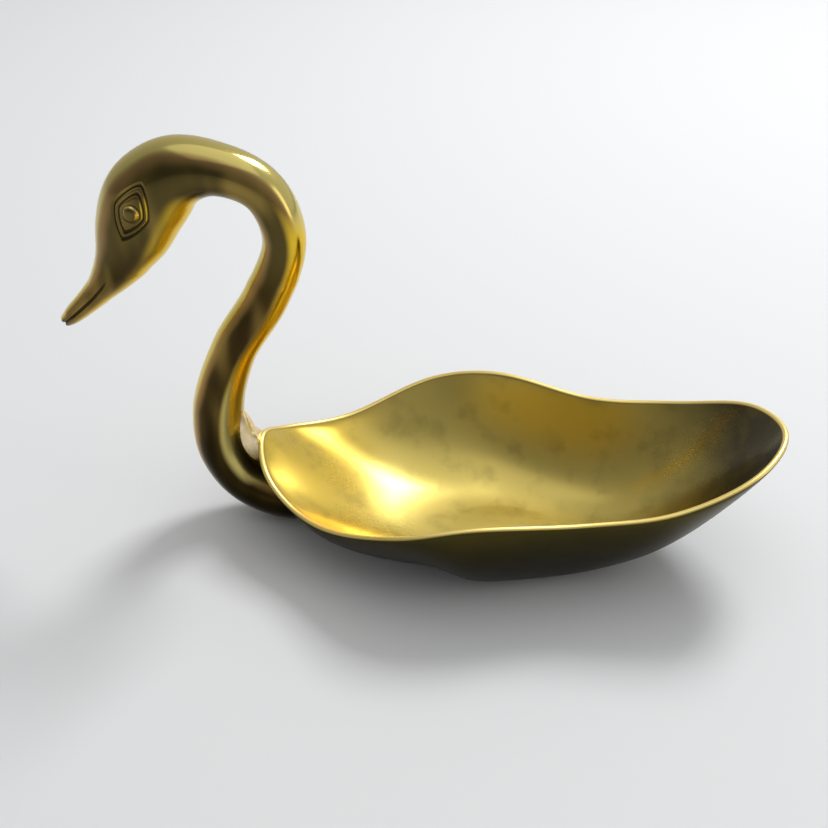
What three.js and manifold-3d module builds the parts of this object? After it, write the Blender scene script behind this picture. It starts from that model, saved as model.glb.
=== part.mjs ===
// A cast brass swan dish: a boat-shaped dish with a waved rim, and a solid neck and head that is brazed
// to the front of the dish. Millimetres, +Z up. The origin is the middle of the flat oval that the dish
// stands on, +X runs from the breast to the tail, and y = 0 is the mirror plane.

import * as THREE from 'three';
import { mergeVertices } from 'three/addons/utils/BufferGeometryUtils.js';
import Module from 'manifold-3d';

const wasm = await Module();
wasm.setup();

// Dish: the flat oval that it stands on, its wall, and half of its rim
const BASE_LENGTH = 68;
const BASE_WIDTH = 38;
const BASE_BEHIND_FRONT = 83; // from the rim's front tip back to the middle of the base
const WALL = 2.4;

// A rim station lies behind the front tip, and has the width across the rim and the rim's height. Under
// it the wall runs outwards along the table by the bilge and comes up to the rim through the flare, both
// as shares of the way from the base out to the rim.
const RIM = [
  { behind: 0, across: 0, height: 33.5, bilge: 0.25, flare: 0.6 }, // front tip
  { behind: 4.5, across: 28, height: 27, bilge: 0.25, flare: 0.5 }, // breast
  { behind: 23, across: 60, height: 22, bilge: 0.22, flare: 0.95 }, // root of the wing
  { behind: 52, across: 88.5, height: 31.5, bilge: 0.1, flare: 0.85 }, // crest of the wing
  { behind: 75, across: 86, height: 36.5, bilge: 0.55, flare: 1 }, // heel of the wing
  { behind: 109, across: 68.5, height: 35, bilge: 0.45, flare: 0.85 }, // waist
  { behind: 135.5, across: 60, height: 39, bilge: 0.25, flare: 0.85 }, // root of the tail
  { behind: 159.5, across: 38, height: 48, bilge: 0.35, flare: 0.7 }, // corner of the tail
  { behind: 168.6, across: 0, height: 51, bilge: 0.1, flare: 0.95 }, // tip of the tail
];
const FLARE_HEIGHT = 0.5; // where the flare acts, as a share of the wall's height

// Neck and head: oval stations from the root under the dish to the tip of the beak, placed ahead of the
// rim's front tip, deep in the mirror plane and wide across it
const NECK = [
  { ahead: -32, height: 15.5, deep: 13, wide: 13 }, // root
  { ahead: -10, height: 9.1, deep: 18.2, wide: 18.2 }, // keel, which touches the table
  { ahead: 4.3, height: 14.1, deep: 17.6, wide: 17.6 }, // breast
  { ahead: 11.8, height: 25.8, deep: 17.4, wide: 17.4 },
  { ahead: 12.6, height: 42, deep: 16.6, wide: 16.6 },
  { ahead: 5.6, height: 65, deep: 14.4, wide: 14.4 },
  { ahead: -6.8, height: 86.5, deep: 14.2, wide: 14.2 },
  { ahead: -13.5, height: 106, deep: 13.4, wide: 13.4 }, // back of the crook
  { ahead: -8.1, height: 121.2, deep: 13.9, wide: 14.2 },
  { ahead: 5, height: 127, deep: 15.7, wide: 16 }, // top of the crook
  { ahead: 17.3, height: 125.4, deep: 22.6, wide: 19 },
  { ahead: 27, height: 116.7, deep: 26.6, wide: 21 }, // eyes
  { ahead: 33, height: 105, deep: 24, wide: 18.5 }, // cheeks
  { ahead: 38.4, height: 94.7, deep: 16.4, wide: 14 },
  { ahead: 45.8, height: 84.8, deep: 9.4, wide: 10.5 }, // root of the beak
  { ahead: 56.5, height: 74.2, deep: 6, wide: 7.6 },
  { ahead: 59, height: 72, deep: 4.4, wide: 5.6 }, // end of the beak
];
const BEAK_NOSE = 1; // how far the beak's end is rounded out

// Eyes: on each side an almond outline is engraved round a raised pupil
const EYE_AHEAD = 29;
const EYE_HEIGHT = 116;
const EYE_LENGTH = 17.5;
const EYE_WIDTH = 9.4;
const EYE_TILT = 66; // degrees that the front corner points down
const EYE_LINE = 0.9; // width of the engraved line
const PUPIL_DIAMETER = 4.4;
const PUPIL_RISE = 0.9;

// Mouth: a line engraved along the middle of the beak, from its corner to the tip
const MOUTH_CORNER_AHEAD = 40.5;
const MOUTH_LINE = 0.9;
const ENGRAVING_DEPTH = 0.7;

// Braze fillet: a web between the back of the neck and the front of the rim, hollowed on every side
const FILLET_TOP = 40.5; // height on the back of the neck
const FILLET_FOOT = 22; // height on the back of the neck underneath
const FILLET_HEEL = 9; // how far behind the front tip it reaches under the rim
const FILLET_HOLLOW = 0.4; // 0 is a straight edge, and 1 one that is hollowed right into the corner
const FILLET_WIDTH = 11;
const FILLET_WAIST = 6;
const FILLET_SIDE_RADIUS = 6;

const CLEARANCE = 0.3;

// Mesh fineness
const DISH_SIDES = 80;
const WALL_STEPS = 9;
const LIP_STEPS = 4;
const NECK_SIDES = 24;
const STEPS_PER_STATION = 5;
const ROUND_STEPS = 16;

// Where a place that is given ahead of the front tip lies along x
function alongX(ahead) {
  return -BASE_BEHIND_FRONT - ahead;
}

// A closed skin over rings of equal count, with a fan to a point at each end. The rings run symmetrically
// from their first point, so the second half is split into triangles the other way round.
function skin(rings, firstPoint, lastPoint) {
  const count = rings[0].length;
  const points = [...rings.flat(), firstPoint, lastPoint];
  const first = points.length - 2;
  const last = points.length - 1;
  const top = (rings.length - 1) * count;
  const index = [];
  for (let j = 0; j < count; j += 1) {
    const next = (j + 1) % count;
    index.push(first, next, j);
    for (let near = 0; near < top; near += count) {
      const far = near + count;
      const mirrored = j >= count / 2;
      index.push(near + j, near + next, mirrored ? far + j : far + next);
      index.push(far + j, mirrored ? near + next : near + j, far + next);
    }
    index.push(last, top + j, top + next);
  }
  const geometry = new THREE.BufferGeometry().setFromPoints(points);
  geometry.setIndex(index);
  return geometry;
}

// The same skin moved outwards all over, or inwards where the distance is negative
function inflated(geometry, distance) {
  const copy = geometry.clone();
  copy.computeVertexNormals();
  const { position, normal } = copy.attributes;
  const point = new THREE.Vector3();
  const outwards = new THREE.Vector3();
  for (let i = 0; i < position.count; i += 1) {
    point.fromBufferAttribute(position, i);
    point.addScaledVector(outwards.fromBufferAttribute(normal, i), distance);
    position.setXYZ(i, point.x, point.y, point.z);
  }
  return copy;
}

// A shape drawn in the mirror plane, as x and z, and made thick across it
function slab(shape, thickness) {
  const settings = { depth: thickness, bevelEnabled: false, curveSegments: ROUND_STEPS };
  const geometry = new THREE.ExtrudeGeometry(shape, settings);
  geometry.translate(0, 0, -thickness / 2);
  return geometry.rotateX(Math.PI / 2);
}

// Solids for joining and cutting
function toSolid(geometry) {
  const bare = geometry.clone();
  bare.deleteAttribute('normal');
  bare.deleteAttribute('uv');
  const merged = mergeVertices(bare);
  return new wasm.Manifold(new wasm.Mesh({
    numProp: 3,
    vertProperties: new Float32Array(merged.attributes.position.array),
    triVerts: new Uint32Array(merged.index.array),
  }));
}

function toGeometry(solid) {
  const mesh = solid.getMesh();
  const geometry = new THREE.BufferGeometry();
  geometry.setAttribute('position', new THREE.BufferAttribute(mesh.vertProperties, 3));
  geometry.setIndex(new THREE.BufferAttribute(mesh.triVerts, 1));
  geometry.computeVertexNormals();
  return geometry;
}

// One turn round the rim, from the tail by the +Y side, with what the wall needs at each step
function rimTurn() {
  const half = RIM.map((s) => new THREE.Vector3(s.behind - BASE_BEHIND_FRONT, s.across / 2, s.height));
  const shares = RIM.map((s) => new THREE.Vector3(s.bilge, s.flare, 0));
  const otherSide = half.slice(1, -1).map((p) => new THREE.Vector3(p.x, -p.y, p.z));
  const line = new THREE.CatmullRomCurve3([...half.toReversed(), ...otherSide], true);
  const share = new THREE.CatmullRomCurve3([...shares.toReversed(), ...shares.slice(1, -1)], true);
  const longest = Math.max(...half.map((p) => p.x));
  const widest = Math.max(...half.map((p) => p.y));
  const steps = [];
  for (let j = 0; j < DISH_SIDES; j += 1) {
    const t = line.getUtoTmapping(j / DISH_SIDES);
    const edge = line.getPoint(t);
    const along = line.getTangent(t);
    const inwards = new THREE.Vector3(-along.y, along.x, 0).normalize();
    const turn = Math.atan2(edge.y / widest, edge.x / longest);
    const foot = new THREE.Vector3(BASE_LENGTH / 2 * Math.cos(turn), BASE_WIDTH / 2 * Math.sin(turn), 0);
    const { x: bilge, y: flare } = share.getPoint(t);
    steps.push({ edge, inwards, foot, bilge, flare });
  }
  return steps;
}

// Rings of one face of the wall, from the floor up to just under the rounded lip
function wallRings(turn, inset, floor) {
  const lines = turn.map(({ edge, inwards, foot, bilge, flare }) => {
    const top = edge.clone().addScaledVector(inwards, inset).setZ(edge.z - WALL / 2);
    const at = (share, height) => foot.clone().lerp(top, share).setZ(height);
    const flareHeight = THREE.MathUtils.lerp(floor, top.z, FLARE_HEIGHT);
    const line = new THREE.CubicBezierCurve3(at(0, floor), at(bilge, floor), at(flare, flareHeight), top);
    return line.getPoints(WALL_STEPS);
  });
  return lines[0].map((_, step) => lines.map((points) => points[step]));
}

// Rings over the rounded lip, from the outside to the inside
function lipRings(turn) {
  const radius = WALL / 2;
  const rings = [];
  for (let k = 1; k < LIP_STEPS; k += 1) {
    const angle = Math.PI * k / LIP_STEPS;
    rings.push(turn.map(({ edge, inwards }) => edge.clone()
      .addScaledVector(inwards, radius - radius * Math.cos(angle))
      .setZ(edge.z - radius + radius * Math.sin(angle))));
  }
  return rings;
}

function dishGeometry(turn) {
  const rings = [...wallRings(turn, 0, 0), ...lipRings(turn), ...wallRings(turn, WALL, WALL).toReversed()];
  return skin(rings, new THREE.Vector3(0, 0, 0), new THREE.Vector3(0, 0, WALL));
}

// The dish as if it were filled to its lip, for cutting what is fitted to its outside
function filledDishGeometry(turn) {
  const rings = [...wallRings(turn, 0, 0), ...lipRings(turn).slice(0, LIP_STEPS / 2)];
  const lowest = Math.min(...RIM.map((s) => s.height));
  return skin(rings, new THREE.Vector3(0, 0, 0), new THREE.Vector3(0, 0, lowest));
}

// The neck's sections: the middle, the ways along, deep and across, and the half sizes
const neckPath = new THREE.CatmullRomCurve3(NECK.map((s) => new THREE.Vector3(alongX(s.ahead), 0, s.height)));
const neckGirth = new THREE.CatmullRomCurve3(NECK.map((s) => new THREE.Vector3(s.deep / 2, s.wide / 2, 0)));
const across = new THREE.Vector3(0, 1, 0);

function neckSections() {
  const count = (NECK.length - 1) * STEPS_PER_STATION;
  const sections = [];
  for (let i = 0; i <= count; i += 1) {
    const middle = neckPath.getPoint(i / count);
    const along = neckPath.getTangent(i / count);
    const deep = new THREE.Vector3().crossVectors(across, along);
    const { x: halfDeep, y: halfWide } = neckGirth.getPoint(i / count);
    sections.push({ middle, along, deep, halfDeep, halfWide });
  }
  return sections;
}

function neckGeometry(sections) {
  const rings = sections.map(({ middle, deep, halfDeep, halfWide }) => {
    const ring = [];
    for (let j = 0; j < NECK_SIDES; j += 1) {
      const angle = 2 * Math.PI * j / NECK_SIDES;
      ring.push(middle.clone()
        .addScaledVector(deep, halfDeep * Math.cos(angle))
        .addScaledVector(across, halfWide * Math.sin(angle)));
    }
    return ring;
  });
  const end = sections.at(-1);
  return skin(rings, sections[0].middle, end.middle.clone().addScaledVector(end.along, BEAK_NOSE));
}

// An almond of two arcs, lying along x about the origin
function almond(length, width, Kind) {
  const radius = (length ** 2 + width ** 2) / (4 * width);
  const reach = Math.asin(length / 2 / radius);
  const drop = radius - width / 2;
  const shape = new Kind();
  shape.absarc(0, -drop, radius, Math.PI / 2 - reach, Math.PI / 2 + reach, false);
  shape.absarc(0, drop, radius, 3 * Math.PI / 2 - reach, 3 * Math.PI / 2 + reach, false);
  return shape;
}

// The engraved eye line, right through the head
function eyeLine(thickness) {
  const shape = almond(EYE_LENGTH, EYE_WIDTH, THREE.Shape);
  const corner = 2 * Math.atan(EYE_WIDTH / EYE_LENGTH);
  const innerLength = EYE_LENGTH - 2 * EYE_LINE / Math.sin(corner);
  shape.holes.push(almond(innerLength, EYE_WIDTH - 2 * EYE_LINE, THREE.Path));
  const geometry = slab(shape, thickness);
  geometry.rotateY(-THREE.MathUtils.degToRad(EYE_TILT));
  return geometry.translate(alongX(EYE_AHEAD), 0, EYE_HEIGHT);
}

// A raised pupil on the side of the head
function pupil(sections, side) {
  const place = new THREE.Vector3(alongX(EYE_AHEAD), 0, EYE_HEIGHT);
  const distance = (section) => section.middle.distanceTo(place);
  const nearest = sections.reduce((best, section) => (distance(section) < distance(best) ? section : best));
  const offset = distance(nearest) / nearest.halfDeep;
  const geometry = new THREE.SphereGeometry(PUPIL_DIAMETER / 2, ROUND_STEPS, ROUND_STEPS / 2);
  geometry.scale(1, 2 * PUPIL_RISE / PUPIL_DIAMETER, 1);
  return geometry.translate(place.x, side * nearest.halfWide * Math.sqrt(1 - offset ** 2), place.z);
}

// The engraved mouth line, right through the beak and past its tip
function mouthLine(sections, thickness) {
  const beak = sections.slice(sections.findIndex(({ middle }) => middle.x < alongX(MOUTH_CORNER_AHEAD)));
  const end = beak.at(-1);
  const past = { ...end, middle: end.middle.clone().addScaledVector(end.along, 2 * BEAK_NOSE) };
  const edge = (side) => [...beak, past].map(({ middle, deep }) => {
    const point = middle.clone().addScaledVector(deep, side * MOUTH_LINE / 2);
    return new THREE.Vector2(point.x, point.z);
  });
  return slab(new THREE.Shape([...edge(1), ...edge(-1).reverse()]), thickness);
}

function neckSolid(sections, neck, filledDish) {
  const widest = Math.max(...NECK.map((s) => s.wide));
  const core = toSolid(inflated(neck, -ENGRAVING_DEPTH));
  const lines = toSolid(eyeLine(2 * widest)).add(toSolid(mouthLine(sections, 2 * widest)));
  return toSolid(neck)
    .add(toSolid(pupil(sections, 1)))
    .add(toSolid(pupil(sections, -1)))
    .subtract(lines.subtract(core))
    .subtract(filledDish);
}

// The back of the lower neck at a height, and the middle of the neck there
function neckBack(sections, height) {
  const back = ({ middle, deep, halfDeep }) => middle.clone().addScaledVector(deep, halfDeep);
  const found = sections.find((section) => back(section).z >= height);
  return { onBack: new THREE.Vector2(back(found).x, height), middleX: found.middle.x };
}

// The fillet's outline in the mirror plane, which runs into the neck and into the dish
function filletShape(sections) {
  const { onBack: top, middleX: topMiddle } = neckBack(sections, FILLET_TOP);
  const { onBack: foot, middleX: footMiddle } = neckBack(sections, FILLET_FOOT);
  const tip = new THREE.Vector2(alongX(0) + WALL / 2, RIM[0].height);
  const heel = new THREE.Vector2(alongX(-FILLET_HEEL), (RIM[0].height + FILLET_FOOT) / 2);
  const hollow = (from, to, corner) => from.clone().lerp(to, 1 / 2).lerp(corner, FILLET_HOLLOW);
  const above = hollow(top, tip, new THREE.Vector2(top.x, tip.y));
  const below = hollow(heel, foot, new THREE.Vector2(foot.x, heel.y));
  const shape = new THREE.Shape();
  shape.moveTo(topMiddle, top.y);
  shape.lineTo(top.x, top.y);
  shape.quadraticCurveTo(above.x, above.y, tip.x, tip.y);
  shape.lineTo(heel.x, heel.y);
  shape.quadraticCurveTo(below.x, below.y, foot.x, foot.y);
  shape.lineTo(footMiddle, foot.y);
  return { shape, lower: foot.lerp(heel, 1 / 2), upper: top.lerp(tip, 1 / 2) };
}

// A round bar along the throat between neck and dish, which hollows one side of the fillet
function filletScoop(lower, upper, side) {
  const reach = 2 * (FILLET_TOP - FILLET_FOOT);
  const bar = new THREE.CylinderGeometry(FILLET_SIDE_RADIUS, FILLET_SIDE_RADIUS, reach, 2 * ROUND_STEPS);
  const along = new THREE.Vector3(upper.x - lower.x, 0, upper.y - lower.y).normalize();
  bar.applyQuaternion(new THREE.Quaternion().setFromUnitVectors(across, along));
  const middle = lower.clone().lerp(upper, 1 / 2);
  return bar.translate(middle.x, side * (FILLET_WAIST / 2 + FILLET_SIDE_RADIUS), middle.y);
}

function filletSolid(sections, neck, filledDish) {
  const { shape, lower, upper } = filletShape(sections);
  return toSolid(slab(shape, FILLET_WIDTH))
    .subtract(toSolid(filletScoop(lower, upper, 1)))
    .subtract(toSolid(filletScoop(lower, upper, -1)))
    .subtract(toSolid(inflated(neck, CLEARANCE)))
    .subtract(filledDish);
}

const turn = rimTurn();
const sections = neckSections();
const neck = neckGeometry(sections);
const filledDish = toSolid(inflated(filledDishGeometry(turn), CLEARANCE));

function piece(name, geometry, color, roughness) {
  const material = new THREE.MeshStandardMaterial({ color, roughness, metalness: 1 });
  const mesh = new THREE.Mesh(geometry, material);
  mesh.name = name;
  return mesh;
}

const swan = new THREE.Group();
swan.add(piece('dish', dishGeometry(turn), 0xb59a45, 0.25));
swan.add(piece('neck_and_head', toGeometry(neckSolid(sections, neck, filledDish)), 0xa5842f, 0.2));
swan.add(piece('braze_fillet', toGeometry(filletSolid(sections, neck, filledDish)), 0xc9b36a, 0.35));

export default swan;
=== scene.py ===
# %% [markdown]
# A cast brass swan dish: a boat-shaped dish, a neck with a head, and the braze that joins them. The packed
# solids give every place and size, in metres. Each visible piece is a smooth mesh that stands for one of
# those solids and stays where it is.

# %% Load the frame
import math

import bmesh
import bpy
from mathutils import Matrix, Vector
from mathutils.bvhtree import BVHTree


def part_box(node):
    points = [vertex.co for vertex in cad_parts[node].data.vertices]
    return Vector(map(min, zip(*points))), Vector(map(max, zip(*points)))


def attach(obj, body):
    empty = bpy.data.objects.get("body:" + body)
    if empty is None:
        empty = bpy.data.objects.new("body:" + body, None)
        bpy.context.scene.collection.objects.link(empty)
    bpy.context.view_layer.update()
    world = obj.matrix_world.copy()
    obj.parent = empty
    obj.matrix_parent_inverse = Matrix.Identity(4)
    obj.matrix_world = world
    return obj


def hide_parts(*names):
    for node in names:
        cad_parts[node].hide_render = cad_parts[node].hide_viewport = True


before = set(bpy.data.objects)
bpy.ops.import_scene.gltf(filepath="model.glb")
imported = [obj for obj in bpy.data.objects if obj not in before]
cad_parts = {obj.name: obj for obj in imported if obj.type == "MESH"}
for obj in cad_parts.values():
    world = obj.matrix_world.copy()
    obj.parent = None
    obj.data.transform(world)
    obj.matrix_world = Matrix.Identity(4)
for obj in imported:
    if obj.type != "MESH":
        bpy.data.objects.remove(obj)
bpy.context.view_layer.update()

# %% [markdown]
# The camera stands a little to the tail's side and looks down on the dish. A long lens from far off would
# flatten the swan. A moderate lens from close by gives the strong perspective that makes the near rim look
# large.

# %% Camera
MM = 0.001
LENS_LENGTH = 54.35
EYE_POINT = Vector((13.84, -319.75, 280.64)) * MM
LOOK_AT = Vector((-31.1, 0, 46)) * MM

lens = bpy.data.cameras.new("camera")
lens.lens = LENS_LENGTH
camera = bpy.data.objects.new("camera", lens)
camera.location = EYE_POINT
camera.rotation_euler = (LOOK_AT - EYE_POINT).to_track_quat("-Z", "Y").to_euler()
bpy.context.scene.collection.objects.link(camera)
bpy.context.scene.camera = camera
bpy.context.scene.view_settings.view_transform = "Standard"
print("camera at", [round(place, 3) for place in EYE_POINT])

# %% [markdown]
# Three small helpers. One merges a copy of a solid, because a packed solid is loose triangles. One relaxes
# points by moving each towards the middle of its neighbours, much as polishing wears metal. The last turns
# a finished bmesh into a piece that rides on the swan and stands for a solid.

# %% Helpers for meshes
MERGE_DISTANCE = 0.001 * MM
RELAXING = 0.5


def merged_copy(node):
    shape = bmesh.new()
    shape.from_mesh(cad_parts[node].data)
    bmesh.ops.remove_doubles(shape, verts=shape.verts, dist=MERGE_DISTANCE)
    shape.normal_update()
    return shape


def relax(shape, points, passes):
    for _ in range(passes):
        bmesh.ops.smooth_vert(
            shape, verts=points, factor=RELAXING, use_axis_x=True, use_axis_y=True, use_axis_z=True)


def finished_piece(shape, name, node):
    mesh = bpy.data.meshes.new(name)
    shape.to_mesh(mesh)
    shape.free()
    mesh.shade_smooth()
    piece = bpy.data.objects.new(name, mesh)
    bpy.context.scene.collection.objects.link(piece)
    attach(piece, "root")
    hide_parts(node)
    print(name, len(mesh.polygons), "faces")
    return piece


print("points merge within", MERGE_DISTANCE / MM, "mm")

# %% [markdown]
# The dish is a thin casting with a waved rim. It could be lofted anew, but its solid already has the right
# form, so a merged copy of that is used and stays exactly in place. A subdivision surface comes out smoothest
# on quads, so the triangles are joined back in pairs. The fans of triangles that fill the floor and the base
# become flat faces first, because they would spoil the pairs beside them.

# %% Net of the dish
FAN_FACES = 20  # a point with more faces than this is the middle of a fan
REGULARITY = 2  # how strongly a pair is chosen to carry on the net beside it


def regular_quads(shape):
    middles = [vert for vert in shape.verts if len(vert.link_faces) > FAN_FACES]
    bmesh.ops.dissolve_verts(shape, verts=middles)
    bmesh.ops.join_triangles(
        shape, faces=shape.faces, angle_face_threshold=math.pi, angle_shape_threshold=math.pi,
        topology_influence=REGULARITY)


dish_shape = merged_copy("dish")
regular_quads(dish_shape)
print("dish net:", len(dish_shape.faces), "faces")

# %% [markdown]
# The lip is where hands and cloths rub, so it is worn bright, and its pale colour is also a painted highlight
# along the rim. Its height rises and falls all round, so no height could tell it from the wall. Its points
# are marked in a layer instead, which the finish reads later.

# %% Lip of the dish
LIP_STEP = 1.2 * MM
MARKS = ("lip", "inner")

for name in MARKS:
    dish_shape.verts.layers.float.new(name)
lip_mark, inner_mark = (dish_shape.verts.layers.float[name] for name in MARKS)


def on_lip(vert):
    """The lip is rounded in short steps, so its points have a short edge on either side."""
    return sum(edge.calc_length() < LIP_STEP for edge in vert.link_edges) > 1


lip_points = [vert for vert in dish_shape.verts if on_lip(vert)]
for vert in lip_points:
    vert[lip_mark] = 1
print("lip points:", len(lip_points))

# %% [markdown]
# Polishing has eased the turn from the floor into the wall. A bevel would leave a band of even width there,
# so the whole inside is relaxed instead. The flat floor gets rings first, so that its middle can follow. The
# inside is what can be reached from the floor, from point to point, without coming to the lip's foot.

# %% Inside of the dish
FLOOR_RINGS = 4
FLOOR_RING_RATIO = 0.75
EASING_PASSES = 20


def ring_floor(shape):
    floor = max((face for face in shape.faces if face.normal.z > 0), key=lambda face: len(face.verts))
    for _ in range(FLOOR_RINGS):
        bmesh.ops.inset_individual(shape, faces=[floor], thickness=0)
        bmesh.ops.scale(shape, vec=(FLOOR_RING_RATIO, FLOOR_RING_RATIO, 1), verts=floor.verts)
    return floor


def with_neighbours(points):
    return {vert for point in points for edge in point.link_edges for vert in edge.verts}


def reached_from(start, fence):
    reached = set(start)
    growing = list(start)
    while growing:
        vert = growing.pop()
        fresh = {edge.other_vert(vert) for edge in vert.link_edges} - reached - fence
        reached |= fresh
        growing.extend(fresh)
    return reached


dish_floor = ring_floor(dish_shape)
from_floor = reached_from(dish_floor.verts, with_neighbours(lip_points))
inside_points = [vert for vert in dish_shape.verts if vert in from_floor]
heights = [vert.co.z for vert in inside_points]
relax(dish_shape, inside_points, EASING_PASSES)
for vert in with_neighbours(inside_points):
    vert[inner_mark] = 1
lift = max(vert.co.z - height for vert, height in zip(inside_points, heights))
print("inside points:", len(inside_points), "lifted by up to", round(lift / MM, 2), "mm")

# %% [markdown]
# The net becomes the dish's piece. It could be split finely once and for all, but a subdivision surface
# rounds it and keeps the net itself light. It has as many levels in the viewport as in the render, so that
# both show the same dish.

# %% Dish
DISH_LEVELS = 2

dish = finished_piece(dish_shape, "swan_dish", "dish")
rounding = dish.modifiers.new("rounding", "SUBSURF")
rounding.levels = DISH_LEVELS
rounding.render_levels = DISH_LEVELS

# %% [markdown]
# The neck and the head are one solid casting. They could be a curve with a bevel, but a curve's section is
# the same shape all along, and the head is deeper than it is wide. So the neck is one long loft: rings set
# square to a smooth line and bridged in turn. The stations are the same sizes that the solid has:
# millimetres ahead of the rim's front tip, height, and the section's depth and width.

# %% Stations of the neck
FRONT_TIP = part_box("dish")[0].x
NECK = [
    (-32, 15.5, 13, 13),  # root
    (-10, 9.1, 18.2, 18.2),  # keel
    (4.3, 14.1, 17.6, 17.6),  # breast
    (11.8, 25.8, 17.4, 17.4),
    (12.6, 42, 16.6, 16.6),
    (5.6, 65, 14.4, 14.4),
    (-6.8, 86.5, 14.2, 14.2),
    (-13.5, 106, 13.4, 13.4),  # back of the crook
    (-8.1, 121.2, 13.9, 14.2),
    (5, 127, 15.7, 16),  # top of the crook
    (17.3, 125.4, 22.6, 19),
    (27, 116.7, 26.6, 21),  # eyes
    (33, 105, 24, 18.5),  # cheeks
    (38.4, 94.7, 16.4, 14),
    (45.8, 84.8, 9.4, 10.5),  # root of the beak
    (56.5, 74.2, 6, 7.6),
    (59, 72, 4.4, 5.6),  # end of the beak
]


def swan_point(ahead, height):
    """A point in the mirror plane, from millimetres ahead of the front tip and above the table."""
    return Vector((FRONT_TIP - ahead * MM, 0, height * MM))


print("neck stations:", len(NECK))

# %% [markdown]
# A line through the stations could be an even spline, but that bulges where stations lie close together. A
# centripetal curve, whose steps go by the square root of each gap, keeps to them.

# %% Smooth line through stations
STEPS = 20
CENTRIPETAL = 0.5


def smooth_line(points):
    """Points on a centripetal curve through the given ones, STEPS to a stretch."""
    ends = [2 * points[0] - points[1], *points, 2 * points[-1] - points[-2]]
    line = []
    for before, start, end, after in zip(ends, ends[1:], ends[2:], ends[3:]):
        stretches = (start - before, end - start, after - end)
        gaps = [max(stretch.length, MERGE_DISTANCE) ** CENTRIPETAL for stretch in stretches]
        leave = (start - before) / gaps[0] - (end - before) / (gaps[0] + gaps[1]) + (end - start) / gaps[1]
        arrive = (end - start) / gaps[1] - (after - start) / (gaps[1] + gaps[2]) + (after - end) / gaps[2]
        leave *= gaps[1]
        arrive *= gaps[1]
        for step in range(STEPS):
            share = step / STEPS
            bend = (3 * (end - start) - 2 * leave - arrive) * share ** 2
            twist = (2 * (start - end) + leave + arrive) * share ** 3
            line.append(start + leave * share + bend + twist)
    return [*line, points[-1]]


neck_line = smooth_line([swan_point(ahead, height) for ahead, height, _, _ in NECK])
neck_girth = smooth_line([Vector((deep, wide, 0)) * MM / 2 for _, _, deep, wide in NECK])
print("neck line:", len(neck_line), "points")

# %% [markdown]
# Each ring is a unit circle, stretched to the section and set square to the line by one matrix. A few
# shrinking rings round off the end of the beak. They stop half a step short of its tip, so the last one
# isn't a single point.

# %% Loft of the neck
SIDES = 96
BEAK_NOSE = 1.1 * MM
NOSE_RINGS = 4
ACROSS = Vector((0, 1, 0))


def neck_sections():
    """For each ring: its middle, the ways along and deep, and half its depth and width."""
    sections = []
    last = len(neck_line) - 1
    for index, (middle, girth) in enumerate(zip(neck_line, neck_girth)):
        along = neck_line[min(index + 1, last)] - neck_line[max(index - 1, 0)]
        along.normalize()
        sections.append((middle, along, ACROSS.cross(along), girth.x, girth.y))
    middle, along, deep, half_deep, half_wide = sections[-1]
    for ring in range(1, NOSE_RINGS + 1):
        angle = math.pi / 2 * ring / (NOSE_RINGS + 0.5)
        shrink = math.cos(angle)
        nose = middle + along * BEAK_NOSE * math.sin(angle)
        sections.append((nose, along, deep, half_deep * shrink, half_wide * shrink))
    return sections


def loft(sections):
    shape = bmesh.new()
    previous = []
    for middle, along, deep, half_deep, half_wide in sections:
        place = Matrix((deep * half_deep, ACROSS * half_wide, along)).transposed().to_4x4()
        place.translation = middle
        ring = bmesh.ops.create_circle(shape, cap_ends=False, segments=SIDES, radius=1, matrix=place)["verts"]
        edges = list({edge for vert in ring for edge in vert.link_edges})
        if previous:
            bmesh.ops.bridge_loops(shape, edges=previous + edges)
        previous = edges
    bmesh.ops.holes_fill(shape, edges=[edge for edge in shape.edges if edge.is_boundary])
    bmesh.ops.recalc_face_normals(shape, faces=shape.faces)
    return shape


sections_of_neck = neck_sections()
neck_shape = loft(sections_of_neck)
print("neck loft:", len(neck_shape.verts), "points")

# %% [markdown]
# Where the crook turns down into the head, the rings crowd together under the throat. A remesh could mend
# that, but it would wear down the beak as well. So only the head and the crook are relaxed, and the beak,
# which lies lower, keeps its edges.

# %% Relaxed throat
THROAT_PASSES = 40
THROAT_LOW = 92 * MM

throat = [vert for vert in neck_shape.verts if vert.co.z > THROAT_LOW]
relax(neck_shape, throat, THROAT_PASSES)
print("points relaxed:", len(throat))

# %% [markdown]
# The eye is cut into the casting: two lozenge lines, one inside the other, round a raised pupil with a
# ring about it. A bump in the finish would look flat from the side, so the lines are real, and a formula
# says how far each point stands in or out.

# %% Eyes
EYE_AHEAD = 29
EYE_HEIGHT = 116
EYE_TILT = math.radians(66)
EYE_HALF_LENGTH = 9.6 * MM
EYE_HALF_WIDTH = 5.4 * MM
LOZENGE_POWER = 1.35
LINE_WIDTH = 0.42 * MM
LINE_DEPTH = 0.5 * MM
OUTER_LINE = 1
INNER_LINE = 0.72
PUPIL_RADIUS = 2.5 * MM
PUPIL_RISE = 0.9 * MM
PUPIL_GROOVE_DEPTH = 0.3 * MM
EYE = swan_point(EYE_AHEAD, EYE_HEIGHT)
eye_long = Vector((-math.cos(EYE_TILT), 0, -math.sin(EYE_TILT)))
eye_wide = Vector((-math.sin(EYE_TILT), 0, math.cos(EYE_TILT)))


def eye_reach(point):
    """0 in the middle of the eye and 1 on its outer line."""
    offset = point - EYE
    length = abs(offset.dot(eye_long)) / EYE_HALF_LENGTH
    width = abs(offset.dot(eye_wide)) / EYE_HALF_WIDTH
    return (length ** LOZENGE_POWER + width ** LOZENGE_POWER) ** (1 / LOZENGE_POWER)


def hump(distance, width):
    return math.exp(-(distance / width) ** 2)


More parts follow.
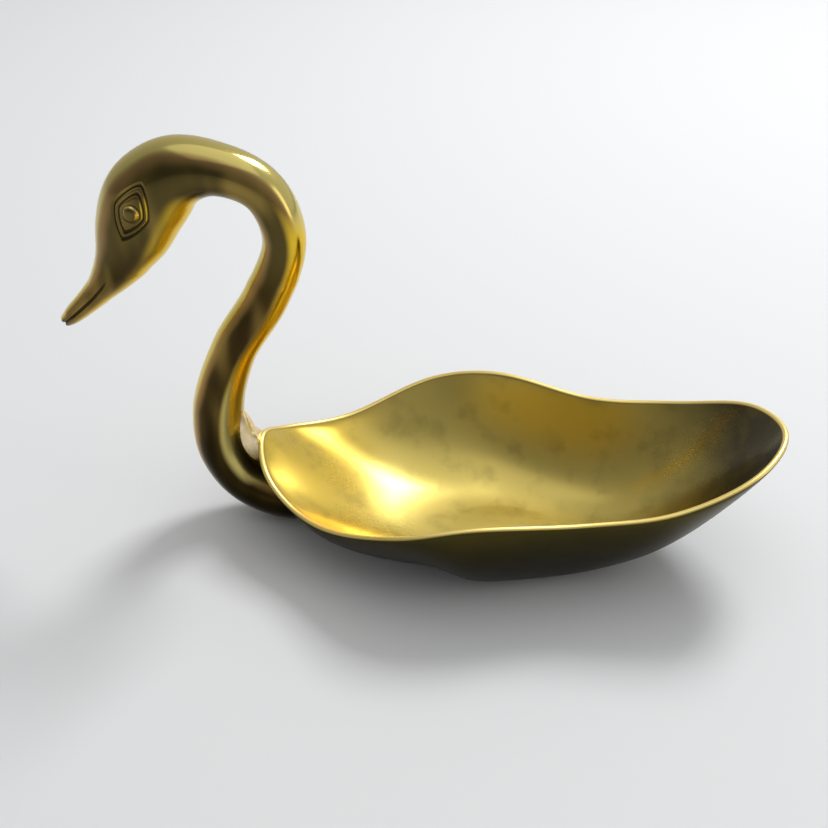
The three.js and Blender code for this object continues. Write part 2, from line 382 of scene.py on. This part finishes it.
def eye_relief(point):
    reach = eye_reach(point)
    lines = sum(hump((reach - line) * EYE_HALF_WIDTH, LINE_WIDTH) for line in (OUTER_LINE, INNER_LINE))
    offset = point - EYE
    radius = math.hypot(offset.x, offset.z)
    boss = PUPIL_RISE * math.sqrt(max(0, 1 - (radius / PUPIL_RADIUS) ** 2))
    ring = PUPIL_GROOVE_DEPTH * hump(radius - PUPIL_RADIUS, LINE_WIDTH)
    return boss - ring - LINE_DEPTH * lines


print("the middle of the pupil stands out by", round(eye_relief(EYE) / MM, 2), "mm")

# %% [markdown]
# The loft's faces are about as wide as the lines of the eye, too wide to show them. A finer loft would do,
# but it would make the whole neck heavier. So only the faces in the eyes are split, each into a small grid.

# %% Faces of the eyes
EYE_ZONE = 1.25  # the reach that is split, a little past the outer line
EYE_CUTS = 2
SIDEWAYS = 0.5  # how far a normal has to point to the side


def in_eye(point, normal):
    return eye_reach(point) < EYE_ZONE and abs(normal.y) > SIDEWAYS


eye_faces = [face for face in neck_shape.faces if in_eye(face.calc_center_median(), face.normal)]
eye_edges = list({edge for face in eye_faces for edge in face.edges})
bmesh.ops.subdivide_edges(neck_shape, edges=eye_edges, cuts=EYE_CUTS, use_grid_fill=True)
print("eye faces split:", len(eye_faces))

# %% [markdown]
# The mouth is a line along each side of the beak, from its corner to the tip. A boolean with a thin blade
# could cut it, but that would break up the loft's even net. The line follows the middle of the loft, so a
# point's distance from it is measured along the depth of the nearest section.

# %% Mouth
MOUTH_CORNER_AHEAD = 40.5
MOUTH_FADE = 3 * MM
MOUTH_WIDTH = 0.55 * MM
MOUTH_DEPTH = 0.75 * MM
mouth_start = FRONT_TIP - MOUTH_CORNER_AHEAD * MM
beak = [(middle, deep) for middle, _, deep, _, _ in sections_of_neck if middle.x < mouth_start]


def mouth_relief(point):
    in_plane = Vector((point.x, 0, point.z))
    middle, deep = min(beak, key=lambda section: (section[0] - in_plane).length)
    fade = min(1, (mouth_start - point.x) / MOUTH_FADE)
    side = min(1, abs(point.y) / MOUTH_WIDTH)
    return -MOUTH_DEPTH * fade * side * hump((point - middle).dot(deep), MOUTH_WIDTH)


print("beak sections:", len(beak))

# %% [markdown]
# Now the eyes and the mouth are cut: every point there moves along its normal. How deep it was cut is kept
# in a layer, because tarnish gathers in such lines and the finish darkens them.

# %% Carving
neck_shape.normal_update()
cut_mark = neck_shape.verts.layers.float.new("cut")


def carved_rise(vert):
    if vert.co.x < mouth_start:
        return mouth_relief(vert.co)
    if in_eye(vert.co, vert.normal):
        return eye_relief(vert.co)
    return 0


rises = [(vert, carved_rise(vert)) for vert in neck_shape.verts]
for vert, rise in rises:
    vert.co += vert.normal * rise
    vert[cut_mark] = max(0, -rise / LINE_DEPTH)
print("points carved:", sum(1 for _, rise in rises if rise))

# %% [markdown]
# The root of the neck is a saddle that follows the hull. A boolean could cut it, but that leaves long thin
# faces. So what would stand inside the dish is lowered to just inside the hull's outer face, where a line
# from below first meets the dish.

# %% Saddle under the dish
SADDLE_DEPTH = 0.7 * MM
SADDLE_TOP = 38 * MM
WELL_BELOW = -1
UPWARDS = Vector((0, 0, 1))
hull_shape = merged_copy("dish")
hull = BVHTree.FromBMesh(hull_shape)
hull_shape.free()


def seat_on_hull(shape):
    moved = 0
    for vert in shape.verts:
        if vert.co.z > SADDLE_TOP or vert.co.x < FRONT_TIP:
            continue
        under = hull.ray_cast(Vector((vert.co.x, vert.co.y, WELL_BELOW)), UPWARDS)[0]
        if under and vert.co.z > under.z + SADDLE_DEPTH:
            vert.co.z = under.z + SADDLE_DEPTH
            moved += 1
    return moved


print("points seated on the hull:", seat_on_hull(neck_shape))
neck = finished_piece(neck_shape, "swan_neck_and_head", "neck_and_head")

# %% [markdown]
# The braze is a web of filler that was filed smooth. A metaball could flow round both castings, but its
# waist could not be set. So it is one short loft from the back of the neck to the hull under the rim, drawn
# in at its waist. Each station has the place of its top, the place of its bottom, both as millimetres ahead
# of the front tip and height, and half its width.

# %% Braze fillet
WEB = [
    ((8, 43), (7, 19), 3.4),  # in the neck
    ((4.1, 41.4), (1.5, 20.5), 3.2),
    ((1.7, 35.8), (-2.6, 24.4), 2.8),  # waist
    ((-0.3, 33.2), (-8.4, 27.2), 3.4),
    ((-1.4, 33), (-9.4, 28.2), 3.6),  # under the rim
]


def web_sections():
    tops = smooth_line([swan_point(*top) for top, _, _ in WEB])
    bottoms = smooth_line([swan_point(*bottom) for _, bottom, _ in WEB])
    widths = smooth_line([Vector((half_wide, 0, 0)) * MM for _, _, half_wide in WEB])
    sections = []
    for top, bottom, width in zip(tops, bottoms, widths):
        deep = (top - bottom).normalized()
        sections.append(((top + bottom) / 2, deep.cross(ACROSS), deep, (top - bottom).length / 2, width.x))
    return sections


fillet_shape = loft(web_sections())
print("fillet points seated on the hull:", seat_on_hull(fillet_shape))
fillet = finished_piece(fillet_shape, "swan_braze", "braze_fillet")

# %% [markdown]
# Finishes are written as sums. A Wire wraps one output of a shader node, and adding or multiplying wires
# adds Math nodes, so a finish reads like a formula and not like a list of links. The reflected operators
# let a number come first, as in 1 - mask.

# %% Shader wires
class Wire:
    def __init__(self, finish, socket):
        self.finish = finish
        self.socket = socket

    def math(self, operation, *values):
        return self.finish.node("ShaderNodeMath", {"operation": operation}, dict(enumerate(values)))

    def __add__(self, other):
        return self.math("ADD", self, other)

    __radd__ = __add__

    def __sub__(self, other):
        return self.math("SUBTRACT", self, other)

    def __rsub__(self, other):
        return self.math("SUBTRACT", other, self)

    def __mul__(self, other):
        return self.math("MULTIPLY", self, other)

    __rmul__ = __mul__

    def __abs__(self):
        return self.math("ABSOLUTE", self)


print("reflected operators:", [name for name in vars(Wire) if name.startswith("__r")])

# %% [markdown]
# A Finish holds one material and makes any other node. A noise has a size, a detail and a stretch along
# each axis. A range has the two values that it runs between and, where they aren't 0 and 1, the two that it
# gives. Noise lies about one half, so a sway takes that away before it moves something to both sides.

# %% Finishes
NOISE_MIDDLE = 0.5
EVEN = (1, 1, 1)


class Finish:
    def __init__(self, name):
        self.material = bpy.data.materials.new(name)
        self.material.use_nodes = True
        self.tree = self.material.node_tree
        self.shader = self.tree.nodes["Principled BSDF"]

    def feed(self, socket, value):
        if isinstance(value, Wire):
            self.tree.links.new(value.socket, socket)
        else:
            socket.default_value = value

    def node(self, kind, settings, sockets, output=0):
        made = self.tree.nodes.new(kind)
        for name, value in settings.items():
            setattr(made, name, value)
        for key, value in sockets.items():
            self.feed(made.inputs[key], value)
        return Wire(self, made.outputs[output])

    def mix(self, share, first, second):
        """A Mix node has sockets for each kind of data: 6, 7 and output 2 are those for colours."""
        sockets = {0: share, 6: first, 7: second}
        return self.node("ShaderNodeMix", {"data_type": "RGBA"}, sockets, 2)

    def between(self, value, low, high, to_low=0, to_high=1):
        sockets = {"Value": value, "From Min": low, "From Max": high, "To Min": to_low, "To Max": to_high}
        return self.node("ShaderNodeMapRange", {"interpolation_type": "SMOOTHSTEP"}, sockets)

    def place(self):
        return self.node("ShaderNodeTexCoord", {}, {}, "Object")

    def along(self, axis):
        return self.node("ShaderNodeSeparateXYZ", {}, {0: self.place()}, axis)

    def facing(self, axis):
        normal = self.node("ShaderNodeTexCoord", {}, {}, "Normal")
        return self.node("ShaderNodeSeparateXYZ", {}, {0: normal}, axis)

    def noise(self, size, detail, stretch):
        scale = tuple(1 / (size * length) for length in stretch)
        place = self.node("ShaderNodeMapping", {}, {"Vector": self.place(), "Scale": scale})
        return self.node("ShaderNodeTexNoise", {}, {"Vector": place, "Scale": 1, "Detail": detail})

    def attribute(self, name):
        return self.node("ShaderNodeAttribute", {"attribute_name": name}, {}, "Fac")

    def surface(self, color, roughness, height, depth):
        bump = self.node("ShaderNodeBump", {}, {"Height": height, "Distance": depth, "Strength": 1})
        self.feed(self.shader.inputs["Base Color"], color)
        self.feed(self.shader.inputs["Roughness"], roughness)
        self.feed(self.shader.inputs["Normal"], bump)
        self.shader.inputs["Metallic"].default_value = 1


def sway(noise, amount):
    return (noise - NOISE_MIDDLE) * amount


def dress(piece, material):
    piece.data.materials.append(material)
    print(piece.name, "wears", material.name, "of", len(material.node_tree.nodes), "nodes")


print("a finish has:", [name for name in vars(Finish) if not name.startswith("_")])

# %% [markdown]
# Inside, the dish is rubbed bright, with small stains. The metal is warm gold near the front, and towards the
# tail it is painted dark grey as painted shade. Outside it is a dark olive brown, partly tarnish and partly
# painted shade, darkest towards the bottom. The lip's pale gold is partly wear and partly a painted
# highlight.
# A painted picture could show all this, but it would need a file of its own. Noise on the dish's own
# coordinates needs none, and it stays sharp from close by.

# %% Colours of the dish
GOLD = (0.66, 0.52, 0.14, 1)
AMBER_GOLD = (0.66, 0.47, 0.08, 1)
# Painted shade for the inside towards the tail.
TAIL_SHADE_GREY = (0.09, 0.076, 0.045, 1)
# The outside's colours are partly tarnish and partly painted shade, darkest low down.
TARNISH_AND_LOW_SHADE = (0.016, 0.012, 0.002, 1)
OLIVE_TARNISH_AND_SHADE = (0.06, 0.048, 0.01, 1)
STAIN = (0.26, 0.21, 0.06, 1)
# Partly wear and partly a painted highlight along the rim.
PALE_GOLD_WEAR_AND_HIGHLIGHT = (0.93, 0.72, 0.24, 1)
FRONT_PLACES = (-38 * MM, -66 * MM)
TAIL_SHADE_PLACES = (42 * MM, 70 * MM)
PLACE_SWAY = 30 * MM
STAIN_RANGE = (0.48, 0.75, 0, 0.35)
HULL_SHADE_HEIGHTS = (12 * MM, 45 * MM)
HULL_BLOTCH_RISE = 12 * MM
LIP_WEAR_AND_HIGHLIGHT_RANGE = (0.5, 0.95)


def dish_color(finish, smudge, blotch, inner):
    place = finish.along("X") + sway(smudge, PLACE_SWAY)
    inside = finish.mix(finish.between(place, *FRONT_PLACES), GOLD, AMBER_GOLD)
    # Towards the tail the inside is painted dark grey: painted shade for the dark that the tail mirrors.
    inside = finish.mix(finish.between(place, *TAIL_SHADE_PLACES), inside, TAIL_SHADE_GREY)
    inside = finish.mix(finish.between(blotch, *STAIN_RANGE), inside, STAIN)
    # The outside is partly tarnish and partly painted shade: darker towards the bottom.
    height = finish.along("Z") + blotch * HULL_BLOTCH_RISE
    outside = finish.mix(finish.between(height, *HULL_SHADE_HEIGHTS), TARNISH_AND_LOW_SHADE, OLIVE_TARNISH_AND_SHADE)
    # The lip's pale gold is partly wear and partly a painted highlight.
    lip = finish.between(finish.attribute("lip"), *LIP_WEAR_AND_HIGHLIGHT_RANGE)
    return finish.mix(lip, finish.mix(inner, outside, inside), PALE_GOLD_WEAR_AND_HIGHLIGHT)


print("the tail turns grey about", round(TAIL_SHADE_PLACES[0] / MM), "mm behind the middle of the base")

# %% [markdown]
# Fine polishing lines run from end to end of the dish, and finger smudges dull them. Both change how rough
# the metal is and give it the faintest relief. Metal shows light only by reflection, so this is what makes
# the glow in the dish soft. One roughness all over would look like plastic.

# %% Finish of the dish
DISH_SMUDGE = (28 * MM, 4, (1.8, 1, 1))
DISH_BLOTCH = (9 * MM, 5, EVEN)
DISH_LINES = (0.7 * MM, 2, (70, 1, 1))
INNER_RANGE = (0.2, 0.6)
DISH_ROUGHNESS = (0.3, 0.7, 0.32, 0.4)
INNER_SHINE = 0.05
DISH_LINE_ROUGHNESS = 0.05
DISH_SMUDGE_SHARE = 0.5
DISH_RELIEF = 0.003 * MM


def dish_finish():
    finish = Finish("dish_brass")
    smudge = finish.noise(*DISH_SMUDGE)
    blotch = finish.noise(*DISH_BLOTCH)
    lines = finish.noise(*DISH_LINES)
    inner = finish.between(finish.attribute("inner"), *INNER_RANGE)
    color = dish_color(finish, smudge, blotch, inner)
    roughness = finish.between(smudge, *DISH_ROUGHNESS) - inner * INNER_SHINE
    roughness = roughness + sway(lines, DISH_LINE_ROUGHNESS)
    finish.surface(color, roughness, lines + smudge * DISH_SMUDGE_SHARE, DISH_RELIEF)
    return finish.material


dress(dish, dish_finish())

# %% [markdown]
# The flanks and the underside of the neck take a dark brown that is partly tarnish and partly painted shade.
# Its tawny streaks are painted reflections, and low on the breast it turns to umber, a painted shade. One
# noise that is drawn out upwards gives the streaks.

# %% Tarnish and painted shade of the neck
# The dark brown is partly tarnish and partly painted shade.
BROWN = (0.04, 0.025, 0.008, 1)
# Painted reflection streaks.
TAWNY_REFLECTION_STREAKS = (0.27, 0.18, 0.045, 1)
# Umber is the patina in the cut lines and painted shade low on the breast.
UMBER_PATINA_AND_SHADE = (0.018, 0.012, 0.003, 1)
NECK_STREAK = (9 * MM, 1, (1, 1, 4))
TAWNY_REFLECTION_RANGE = (0.4, 0.85)
BREAST_SHADE = 0.9


def neck_tarnish_and_shade(finish, on_breast):
    streak = finish.noise(*NECK_STREAK)
    # Tawny streaks in the dark brown are painted reflections.
    tarnish_and_shade = finish.mix(finish.between(streak, *TAWNY_REFLECTION_RANGE), BROWN, TAWNY_REFLECTION_STREAKS)
    # Umber low on the breast is painted shade.
    return finish.mix(on_breast * BREAST_SHADE, tarnish_and_shade, UMBER_PATINA_AND_SHADE)


print("streaks are about", round(NECK_STREAK[0] / MM), "mm wide")

# %% [markdown]
# The neck is bright along its front and back: olive on the head and the crook, warmer lower down. Where it
# faces the dish it is painted amber, a painted reflection of the gold dish, down to the olive nape above the
# braze. Underneath and on the flanks it takes a dark brown that is partly tarnish and partly painted shade,
# further forward on the neck than on the head, and the cut lines are umber. A copper band, a painted
# reflection, shows where the bright metal and the painted shade meet. All but the cut lines goes by height
# and by the way that the surface faces, so nothing has to be painted by hand.

# %% Colours of the neck and head
BRIGHT = (0.72, 0.54, 0.09, 1)
OLIVE_BRIGHT = (0.6, 0.5, 0.16, 1)
# A painted reflection where the flank's painted shade ends.
COPPER_REFLECTION = (0.3, 0.14, 0.06, 1)
# A painted reflection of the gold dish on the neck.
AMBER_DISH_REFLECTION = (0.8, 0.53, 0.035, 1)
HEAD_TO_NECK = (110 * MM, 80 * MM)
NECK_TO_BREAST = (55 * MM, 22 * MM)
NAPE_HEIGHTS = (62 * MM, 46 * MM)
FLANK_FACING = (0.58, 0.95)
FLANK_SWAY = 0.2
FLANK_FORWARD = 0.1
HEAD_SHADE_SHARE = 0.9
EDGE_GAIN = 3
EDGE_REFLECTION_SHARE = 0.8
UNDER_FACING = (0, -0.6)
UNDER_SWAY = 0.3
UNDER_SHADE_SHARE = 0.85
DISHWARD_FACING = (0.25, 0.6)
NOT_UPWARD_FACING = (0.3, 0)
NAPE_FACING = (0.2, 0.5)
CUT_RANGE = (0.25, 0.9, 0, 0.85)


def neck_color(finish, smudge):
    height = finish.along("Z")
    on_neck = finish.between(height, *HEAD_TO_NECK)
    on_breast = finish.between(height, *NECK_TO_BREAST)
    tarnish_and_shade = neck_tarnish_and_shade(finish, on_breast)
    # The flanks take the dark brown, partly tarnish and partly painted shade.
    side = abs(finish.facing("Y")) - finish.facing("X") * on_neck * FLANK_FORWARD
    flank = finish.between(side + sway(smudge, FLANK_SWAY), *FLANK_FACING)
    strength = finish.between(on_neck, 0, 1, HEAD_SHADE_SHARE, 1)
    color = finish.mix(flank * strength, finish.mix(on_neck, OLIVE_BRIGHT, BRIGHT), tarnish_and_shade)
    # A copper band where the flank ends is a painted reflection.
    color = finish.mix(flank * (1 - flank) * EDGE_GAIN * EDGE_REFLECTION_SHARE, color, COPPER_REFLECTION)
    # Faces that look down take the dark brown as painted shade.
    under = finish.between(finish.facing("Z") + sway(smudge, UNDER_SWAY), *UNDER_FACING)
    color = finish.mix(under * UNDER_SHADE_SHARE, color, tarnish_and_shade)
    # Where the neck faces the dish it is painted amber, a painted reflection of the gold dish.
    dish_reflection = finish.between(finish.facing("X"), *DISHWARD_FACING)
    dish_reflection = dish_reflection * finish.between(finish.facing("Z"), *NOT_UPWARD_FACING)
    color = finish.mix(dish_reflection * (1 - on_breast), color, AMBER_DISH_REFLECTION)
    nape = finish.between(finish.facing("X"), *NAPE_FACING) * finish.between(height, *NAPE_HEIGHTS)
    color = finish.mix(nape, color, OLIVE_BRIGHT)
    return finish.mix(finish.between(finish.attribute("cut"), *CUT_RANGE), color, UMBER_PATINA_AND_SHADE)


print("the head's olive ends", round(HEAD_TO_NECK[1] / MM), "mm above the table")

# %% [markdown]
# The neck is smoother than the dish, because a rounded outside is easier to polish than a hollow. Its fine
# lines run up the flanks and across the top of the crook, as a cloth drawn over it leaves them.

# %% Finish of the neck and head
NECK_SMUDGE = (16 * MM, 2, EVEN)
NECK_LINES = (0.7 * MM, 2, (1, 40, 40))
NECK_ROUGHNESS = (0.3, 0.7, 0.14, 0.24)
NECK_LINE_ROUGHNESS = 0.04
NECK_SMUDGE_SHARE = 0.6
NECK_RELIEF = 0.006 * MM


def neck_finish():
    finish = Finish("neck_brass")
    smudge = finish.noise(*NECK_SMUDGE)
    lines = finish.noise(*NECK_LINES)
    color = neck_color(finish, smudge)
    roughness = finish.between(smudge, *NECK_ROUGHNESS) + sway(lines, NECK_LINE_ROUGHNESS)
    finish.surface(color, roughness, lines + smudge * NECK_SMUDGE_SHARE, NECK_RELIEF)
    return finish.material


dress(neck, neck_finish())

# %% [markdown]
# Brazing metal is paler and pinker than the castings, and the file has left it a little uneven. One noise
# does for its colour, its roughness and its relief, because the same file made all three.

# %% Finish of the braze
CREAM = (0.9, 0.73, 0.46, 1)
FILED = (3 * MM, 3, EVEN)
GOLD_RANGE = (0.4, 0.7, 0, 0.5)
BRAZE_ROUGHNESS = (0.3, 0.7, 0.24, 0.36)
FILED_RELIEF = 0.04 * MM


def braze_finish():
    finish = Finish("braze")
    uneven = finish.noise(*FILED)
    color = finish.mix(finish.between(uneven, *GOLD_RANGE), CREAM, GOLD)
    finish.surface(color, finish.between(uneven, *BRAZE_ROUGHNESS), uneven, FILED_RELIEF)
    return finish.material


dress(fillet, braze_finish())

# %% [markdown]
# The swan stands on a plain pale floor that fills the picture, and its polished metal mirrors the floor from
# below. A curved backdrop isn't needed, because the camera looks down and sees no horizon.

# %% Floor
FLOOR_HALF_SIZE = 4
FLOOR_COLOR = (0.8, 0.81, 0.82, 1)
FLOOR_ROUGHNESS = 0.9


def floor_piece():
    shape = bmesh.new()
    bmesh.ops.create_grid(shape, x_segments=1, y_segments=1, size=FLOOR_HALF_SIZE)
    mesh = bpy.data.meshes.new("floor")
    shape.to_mesh(mesh)
    shape.free()
    floor = bpy.data.objects.new("floor", mesh)
    bpy.context.scene.collection.objects.link(floor)
    return floor


def floor_finish():
    finish = Finish("floor_paint")
    finish.feed(finish.shader.inputs["Base Color"], FLOOR_COLOR)
    finish.feed(finish.shader.inputs["Roughness"], FLOOR_ROUGHNESS)
    return finish.material


dress(floor_piece(), floor_finish())

# %% [markdown]
# Polished metal shows what stands round it. A small softbox, high up behind the dish on the tail's side,
# gives the burnt-out glow. A wide one overhead fills the dish, and a strip beyond the tail draws a bright
# line along the back of the neck. Glowing planes could do the same, but area lamps give a cleaner picture.
# Each has its azimuth and elevation in degrees, its distance and size in metres, how bright its face is,
# and its colour.

# %% Softboxes
AIM = Vector((-40, 10, 30)) * MM
WHITE = (1, 1, 1)
WARM_WHITE = (1, 0.93, 0.8)
SOFTBOXES = {
    "key_light": (58, 51, 1.1, (0.3, 0.4), 17, WHITE),
    "top_light": (-60, 84, 1.6, (1.6, 1.6), 0.45, WHITE),
    "right_strip": (-12, 16, 1.2, (0.3, 0.8), 1.3, WARM_WHITE),
}


def softbox(name, azimuth, elevation, distance, size, radiance, color):
    lamp = bpy.data.lights.new(name, "AREA")
    lamp.shape = "RECTANGLE"
    lamp.size, lamp.size_y = size
    lamp.energy = radiance * math.pi * size[0] * size[1]
    lamp.color = color
    box = bpy.data.objects.new(name, lamp)
    turn = math.radians(azimuth)
    rise = math.radians(elevation)
    out = Vector((math.cos(turn) * math.cos(rise), math.sin(turn) * math.cos(rise), math.sin(rise)))
    box.location = AIM + out * distance
    box.rotation_euler = (-out).to_track_quat("-Z", "Y").to_euler()
    bpy.context.scene.collection.objects.link(box)
    print(name, round(lamp.energy, 2), "watts")


for name, settings in SOFTBOXES.items():
    softbox(name, *settings)

# %% [markdown]
# An even room would make brass look like paint. A picture of a real room would need a file, so two shades
# that blend into each other stand for it: light on the window's side, behind the dish and towards the tail,
# and dark on the other.

# %% Room
WINDOW_SIDE = (0.6, 0.8, 0)
ROOM_DARK = 0.2
ROOM_LIGHT = 0.75


def room():
    world = bpy.data.worlds.new("room")
    bpy.context.scene.world = world
    world.use_nodes = True
    nodes = world.node_tree.nodes
    links = world.node_tree.links
    direction = nodes.new("ShaderNodeTexCoord")
    towards_window = nodes.new("ShaderNodeVectorMath")
    towards_window.operation = "DOT_PRODUCT"
    towards_window.inputs[1].default_value = WINDOW_SIDE
    shade = nodes.new("ShaderNodeMapRange")
    shade.inputs["From Min"].default_value = -1
    shade.inputs["To Min"].default_value = ROOM_DARK
    shade.inputs["To Max"].default_value = ROOM_LIGHT
    links.new(direction.outputs["Generated"], towards_window.inputs[0])
    links.new(towards_window.outputs["Value"], shade.inputs["Value"])
    links.new(shade.outputs[0], nodes["Background"].inputs["Color"])


room()
print("room from", ROOM_DARK, "to", ROOM_LIGHT)

# %% [markdown]
